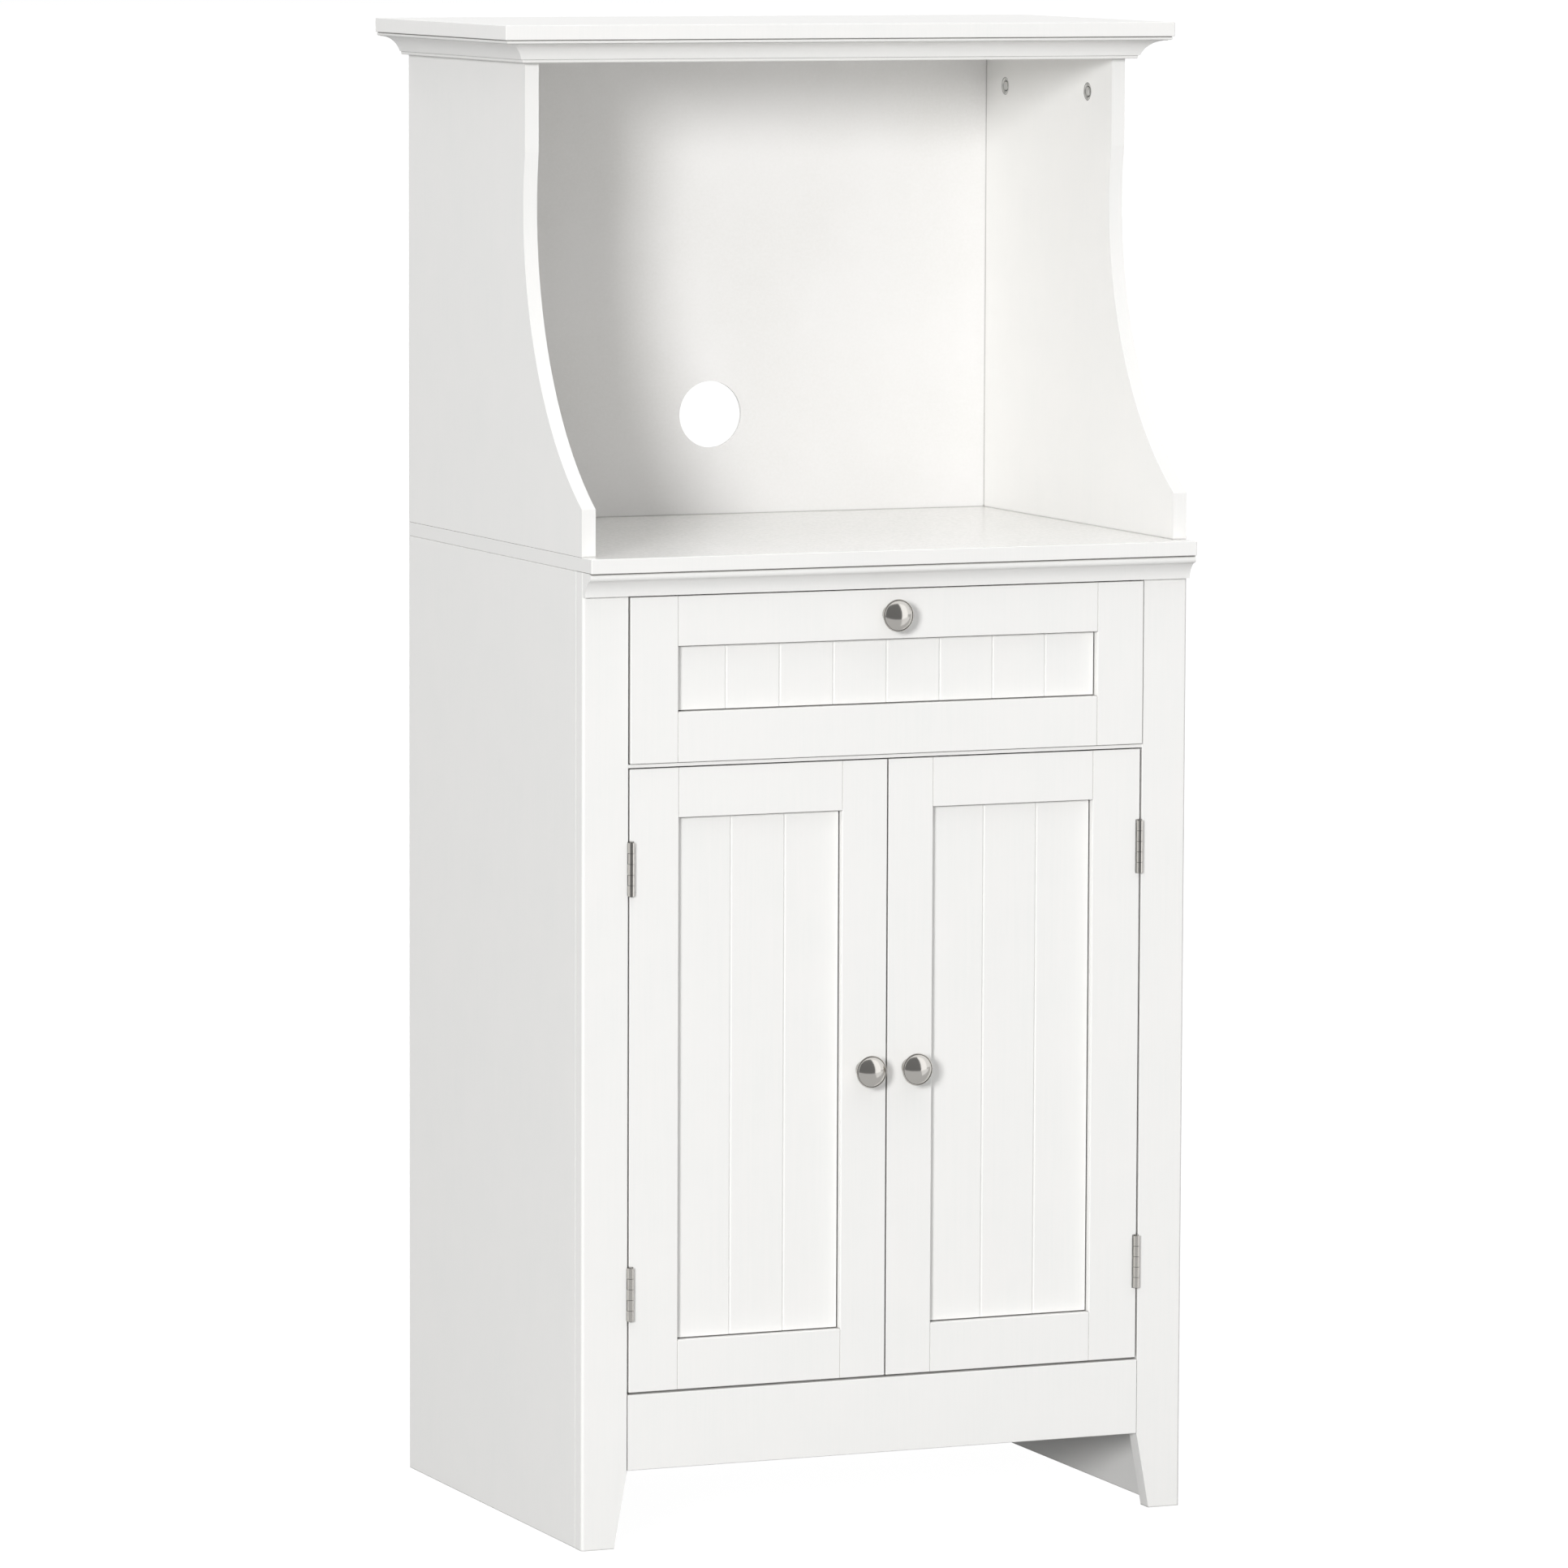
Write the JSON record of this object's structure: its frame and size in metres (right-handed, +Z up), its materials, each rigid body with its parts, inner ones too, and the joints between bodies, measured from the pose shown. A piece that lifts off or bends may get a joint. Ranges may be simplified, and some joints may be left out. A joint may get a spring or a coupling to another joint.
{
  "type": "microwave cabinet",
  "caption": "Free-standing microwave cabinet: open hutch with curved sides, cove crown and cable hole above a base with a drawer and inset grooved doors on butt hinges, round metal knobs",
  "frame": {"origin": "on the floor, under the middle of the whole object's bounding box", "axes": "+X to the right as seen from the front, +Y from the front to the back, +Z up; the doors and the drawer face -Y"},
  "size_m": [0.6, 0.4244, 1.24],
  "materials": {
    "painted_mdf": "smooth white satin paint on MDF, edges slightly eased",
    "painted_hardboard": "thin hardboard with a smooth white face",
    "satin_nickel": "satin nickel plate",
    "zinc_steel": "bright zinc plate on pressed steel and die-cast zinc",
    "white_plastic": "moulded white plastic"
  },
  "bodies": {
    "cabinet": {"base_side_left": "painted_mdf", "base_side_right": "painted_mdf", "leg_left": "painted_mdf", "leg_right": "painted_mdf", "kick_rail": "painted_mdf", "base_bottom": "painted_mdf", "divider_rail": "painted_mdf", "worktop": "painted_mdf", "worktop_moulding": "painted_mdf", "base_back": "painted_hardboard", "shelf": "painted_mdf", "shelf_pins": "satin_nickel", "runner_cleat_left": "painted_mdf", "runner_cleat_right": "painted_mdf", "runner_channel_left": "zinc_steel", "runner_channel_right": "zinc_steel", "hinge_leaves_frame_left": "satin_nickel", "hinge_leaves_frame_right": "satin_nickel", "hinge_pins": "satin_nickel", "magnet_catches": "white_plastic", "hutch_side_left": "painted_mdf", "hutch_side_right": "painted_mdf", "hutch_back": "painted_hardboard", "hutch_top": "painted_mdf", "cam_locks": "zinc_steel", "crown_board": "painted_mdf", "crown_moulding_front": "painted_mdf", "crown_moulding_left": "painted_mdf", "crown_moulding_right": "painted_mdf"},
    "door_left": {"door_left_hinge_stile": "painted_mdf", "door_left_meeting_stile": "painted_mdf", "door_left_top_rail": "painted_mdf", "door_left_bottom_rail": "painted_mdf", "door_left_panel": "painted_mdf", "hinge_leaves_door_left": "satin_nickel", "knob_left": "satin_nickel", "knob_screw_left": "zinc_steel", "strike_plate_left": "zinc_steel"},
    "door_right": {"door_right_hinge_stile": "painted_mdf", "door_right_meeting_stile": "painted_mdf", "door_right_top_rail": "painted_mdf", "door_right_bottom_rail": "painted_mdf", "door_right_panel": "painted_mdf", "hinge_leaves_door_right": "satin_nickel", "knob_right": "satin_nickel", "knob_screw_right": "zinc_steel", "strike_plate_right": "zinc_steel"},
    "drawer": {"drawer_front_stile_left": "painted_mdf", "drawer_front_stile_right": "painted_mdf", "drawer_front_top_rail": "painted_mdf", "drawer_front_bottom_rail": "painted_mdf", "drawer_front_panel": "painted_mdf", "drawer_side_left": "painted_mdf", "drawer_side_right": "painted_mdf", "drawer_back": "painted_mdf", "drawer_bottom": "painted_hardboard", "runner_rail_left": "zinc_steel", "runner_rail_right": "zinc_steel", "knob_drawer": "satin_nickel", "knob_screw_drawer": "zinc_steel"}
  },
  "joints": [
    {"name": "door_left_hinge", "type": "hinge", "parent": "cabinet", "child": "door_left", "pos_m": [-0.2279, -0.18935, 0.384], "axis": [0, 0, -1], "range_deg": [0, 170]},
    {"name": "door_right_hinge", "type": "hinge", "parent": "cabinet", "child": "door_right", "pos_m": [0.2279, -0.18935, 0.384], "axis": [0, 0, 1], "range_deg": [0, 170]},
    {"name": "drawer_slide", "type": "slide", "parent": "cabinet", "child": "drawer", "axis": [0, -1, 0], "range_m": [0, 0.25]}
  ]
}
